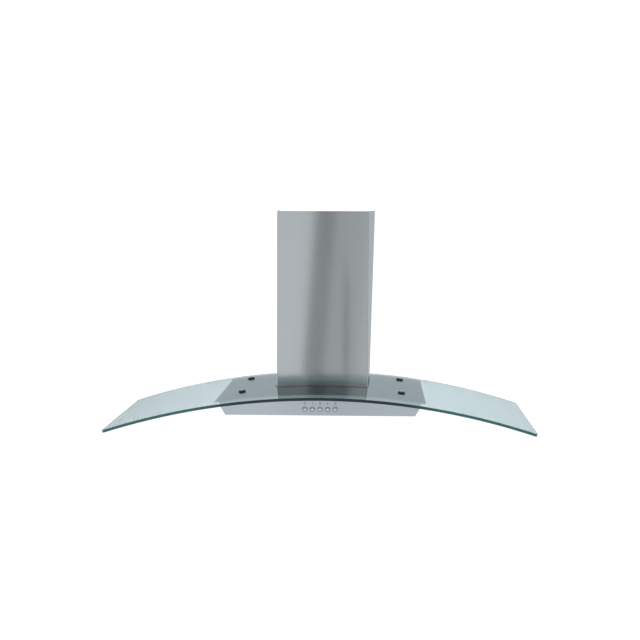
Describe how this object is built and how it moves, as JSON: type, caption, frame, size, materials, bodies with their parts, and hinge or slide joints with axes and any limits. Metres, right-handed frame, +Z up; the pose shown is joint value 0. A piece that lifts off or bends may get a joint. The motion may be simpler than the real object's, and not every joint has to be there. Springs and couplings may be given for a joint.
{
  "type": "range hood",
  "caption": "Wall-mounted chimney cooker hood with a curved glass canopy, push buttons, lamps, tilting grease filters, blower and telescopic chimney cover.",
  "frame": {"origin": "centre of the four wall fixing holes, on the wall plane", "axes": "+X to the right along the canopy, +Y towards the wall, +Z up; the controls face -Y"},
  "size_m": [0.9, 0.5, 0.4599],
  "materials": {
    "stainless_front": "satin, brushed along its length",
    "stainless_cover": "satin, brushed across its width",
    "stainless_plate": "satin",
    "canopy_glass": "clear toughened glass with a green edge",
    "black_bush": "black nylon",
    "rubber_gasket": "black rubber",
    "bright_screw": "polished",
    "zinc_fastener": "zinc plated",
    "galvanised_sheet": "galvanised",
    "scroll_plastic": "moulded dark grey",
    "flap_plastic": "moulded light grey",
    "flap_pin_steel": "ground steel",
    "fan_plastic": "moulded black",
    "motor_casting": "die cast",
    "motor_iron": "laminated steel",
    "motor_copper": "enamelled copper wire",
    "bearing_bronze": "sintered bronze",
    "capacitor_can": "moulded white",
    "control_plastic": "moulded pale grey",
    "gland_plastic": "black nylon",
    "switch_black": "moulded black",
    "lead_sheath": "white sheath",
    "button_chrome": "polished",
    "lamp_trim": "satin",
    "lamp_glass": "frosted",
    "lamp_board": "white board with emitters",
    "filter_aluminium": "satin rolled aluminium",
    "filter_mesh": "layers of expanded aluminium"
  },
  "bodies": {
    "hood": {"blower_box": "galvanised_sheet", "blower_box_front": "galvanised_sheet", "body_shell": "stainless_front", "box_screws": "zinc_fastener", "bracket_screws": "zinc_fastener", "cable_gland": "gland_plastic", "capacitor_clip": "galvanised_sheet", "control_box": "control_plastic", "control_box_lid": "control_plastic", "cover_clips": "galvanised_sheet", "filter_catches": "galvanised_sheet", "flap_pin": "flap_pin_steel", "glass_bushes": "black_bush", "glass_canopy": "canopy_glass", "glass_gaskets": "rubber_gasket", "glass_nuts": "zinc_fastener", "glass_screws": "bright_screw", "inlet_frame": "rubber_gasket", "lamp_driver": "control_plastic", "lamp_leads": "lead_sheath", "left_lamp_housing": "lamp_trim", "left_lamp_lens": "lamp_glass", "left_lamp_module": "lamp_board", "lid_screws": "zinc_fastener", "lower_chimney_cover": "stainless_cover", "motor_bearings": "bearing_bronze", "motor_bracket": "galvanised_sheet", "motor_lead": "lead_sheath", "motor_left_bell": "motor_casting", "motor_right_bell": "motor_casting", "motor_stator": "motor_iron", "motor_windings": "motor_copper", "outlet_collar": "scroll_plastic", "right_lamp_housing": "lamp_trim", "right_lamp_lens": "lamp_glass", "right_lamp_module": "lamp_board", "run_capacitor": "capacitor_can", "scroll_left": "scroll_plastic", "scroll_right": "scroll_plastic", "switch_block": "switch_black", "switch_lead": "lead_sheath", "terminal_block": "control_plastic", "top_plate": "stainless_plate"},
    "fan": {"fan_wheel": "fan_plastic", "motor_shaft": "flap_pin_steel", "motor_rotor": "motor_iron"},
    "front_flap": {"front_damper_flap": "flap_plastic"},
    "rear_flap": {"rear_damper_flap": "flap_plastic"},
    "left_filter": {"left_filter_frame": "filter_aluminium", "left_filter_mesh": "filter_mesh"},
    "right_filter": {"right_filter_frame": "filter_aluminium", "right_filter_mesh": "filter_mesh"},
    "upper_chimney": {"upper_chimney_cover": "stainless_cover", "chimney_bracket": "galvanised_sheet", "chimney_bracket_screws": "zinc_fastener"},
    "lamp_button": {"button_lamp": "button_chrome"},
    "slow_button": {"button_slow": "button_chrome"},
    "medium_button": {"button_medium": "button_chrome"},
    "fast_button": {"button_fast": "button_chrome"},
    "timer_button": {"button_timer": "button_chrome"}
  },
  "joints": [
    {"name": "fan_spin", "type": "hinge", "parent": "hood", "child": "fan", "pos_m": [0, -0.153, -0.045], "axis": [1, 0, 0], "continuous": true},
    {"name": "front_flap_swing", "type": "hinge", "parent": "hood", "child": "front_flap", "pos_m": [0, -0.085, 0.117], "axis": [-1, 0, 0], "range_deg": [0, 80]},
    {"name": "rear_flap_swing", "type": "hinge", "parent": "hood", "child": "rear_flap", "pos_m": [0, -0.085, 0.117], "axis": [1, 0, 0], "range_deg": [0, 80]},
    {"name": "left_filter_tilt", "type": "hinge", "parent": "hood", "child": "left_filter", "pos_m": [-0.0955, -0.0155, -0.231], "axis": [1, 0, 0], "range_deg": [0, 70]},
    {"name": "right_filter_tilt", "type": "hinge", "parent": "hood", "child": "right_filter", "pos_m": [0.0955, -0.0155, -0.231], "axis": [1, 0, 0], "range_deg": [0, 70]},
    {"name": "upper_chimney_slide", "type": "slide", "parent": "hood", "child": "upper_chimney", "axis": [0, 0, 1], "range_m": [0, 0.24]},
    {"name": "lamp_button_press", "type": "slide", "parent": "hood", "child": "lamp_button", "axis": [0, 1, 0], "range_m": [0, 0.0025], "stiffness_N_per_m": 400},
    {"name": "slow_button_press", "type": "slide", "parent": "hood", "child": "slow_button", "axis": [0, 1, 0], "range_m": [0, 0.0025], "stiffness_N_per_m": 400},
    {"name": "medium_button_press", "type": "slide", "parent": "hood", "child": "medium_button", "axis": [0, 1, 0], "range_m": [0, 0.0025], "stiffness_N_per_m": 400},
    {"name": "fast_button_press", "type": "slide", "parent": "hood", "child": "fast_button", "axis": [0, 1, 0], "range_m": [0, 0.0025], "stiffness_N_per_m": 400},
    {"name": "timer_button_press", "type": "slide", "parent": "hood", "child": "timer_button", "axis": [0, 1, 0], "range_m": [0, 0.0025], "stiffness_N_per_m": 400}
  ]
}
